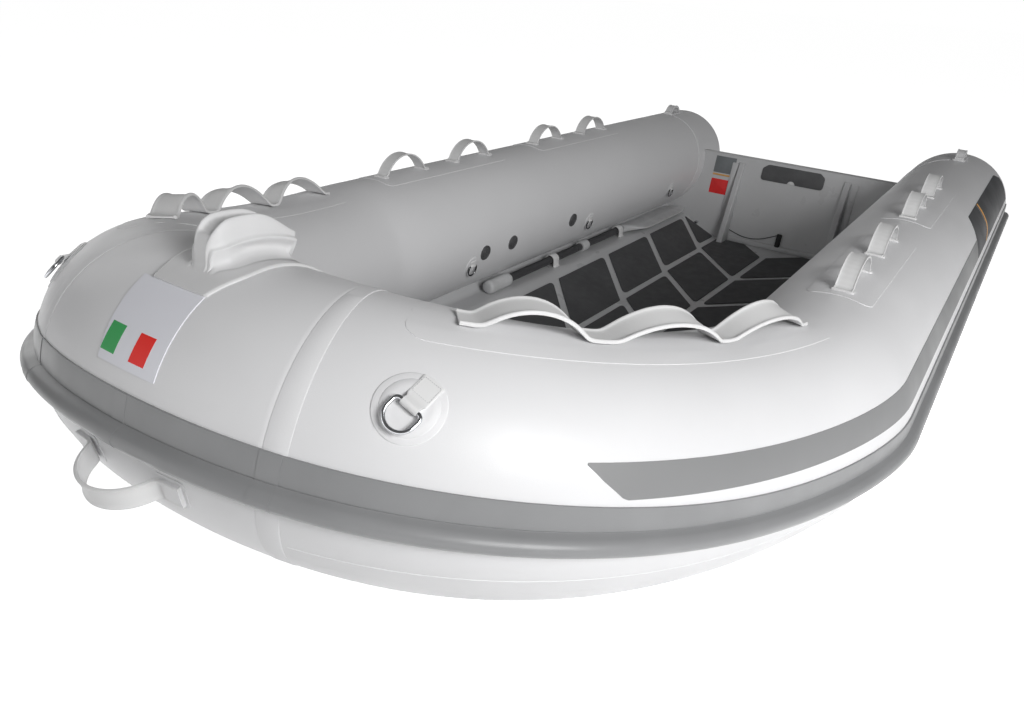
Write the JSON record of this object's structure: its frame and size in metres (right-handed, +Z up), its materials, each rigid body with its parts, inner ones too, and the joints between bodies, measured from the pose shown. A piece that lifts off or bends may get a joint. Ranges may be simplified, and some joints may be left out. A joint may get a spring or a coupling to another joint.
{
  "type": "inflatable boat with a rigid hull",
  "caption": "Open inflatable dinghy: round air tubes joined at the bow over a rigid keeled hull with a padded floor, a raked transom for an outboard, grab loops, towing rings and stowed oars.",
  "frame": {"origin": "amidships on the centreline, on the waterline", "axes": "+X towards the bow, +Y to port, +Z up"},
  "size_m": [3.7707, 1.8358, 0.879],
  "materials": {
    "tube_cloth": "smooth coated cloth, satin",
    "strake_rubber": "smooth moulded rubber",
    "grey_cloth": "coated cloth, satin",
    "dark_cloth": "coated cloth, satin",
    "hull_gelcoat": "smooth glossy gelcoat",
    "grey_gelcoat": "light orange-peel gelcoat",
    "floor_pad": "fine-grained foam sheet",
    "motor_pad": "fine-grained",
    "label": "satin film",
    "black_plastic": "satin",
    "lanyard": "twisted line",
    "white_rubber": "moulded, satin",
    "badge": "coated cloth, satin",
    "badge_block": "coated cloth, satin",
    "white_webbing": "coated webbing",
    "grey_webbing": "webbing",
    "oar": "satin moulded plastic",
    "steel": "polished steel"
  },
  "bodies": {
    "boat": {"tube_bow": "tube_cloth", "quarter_tube_port": "tube_cloth", "quarter_tube_starboard": "tube_cloth", "side_tube_port": "tube_cloth", "side_tube_starboard": "tube_cloth", "seam_bands": "tube_cloth", "rub_strake_bow": "strake_rubber", "rub_strake_port": "strake_rubber", "rub_strake_starboard": "strake_rubber", "side_stripe_port": "grey_cloth", "side_stripe_starboard": "grey_cloth", "aft_panel_port": "dark_cloth", "aft_panel_starboard": "dark_cloth", "hull": "hull_gelcoat", "deck": "grey_gelcoat", "floor_pads": "floor_pad", "transom": "grey_gelcoat", "transom_ribs": "grey_gelcoat", "motor_pad_inner": "motor_pad", "motor_pad_outer": "motor_pad", "transom_labels": "label", "drain_plug": "black_plastic", "drain_lanyard": "lanyard", "bow_chock": "white_rubber", "bow_badge": "badge", "badge_blocks": "badge_block", "bow_handle": "white_webbing", "grab_strap_port": "white_webbing", "grab_strap_starboard": "white_webbing", "loops_port": "white_webbing", "loops_starboard": "white_webbing", "stern_handles": "white_rubber", "tow_patch_port": "white_webbing", "tow_patch_starboard": "white_webbing", "lashing_tabs": "white_webbing", "lashing_rings": "steel", "valves": "black_plastic", "oar_port": "oar", "oar_starboard": "oar", "oar_straps": "grey_webbing", "bow_eye": "steel", "corner_fittings": "steel"},
    "ring_port": {"tow_ring_port": "steel"},
    "ring_starboard": {"tow_ring_starboard": "steel"}
  },
  "joints": [
    {"name": "tow_ring_port_swing", "type": "hinge", "parent": "boat", "child": "ring_port", "pos_m": [1.68746, 0.39917, 0.52062], "axis": [0.1155, -0.8482, 0.517], "range_deg": [0, 150]},
    {"name": "tow_ring_starboard_swing", "type": "hinge", "parent": "boat", "child": "ring_starboard", "pos_m": [1.68746, -0.39917, 0.52062], "axis": [-0.1155, -0.8482, -0.517], "range_deg": [0, 150]}
  ]
}
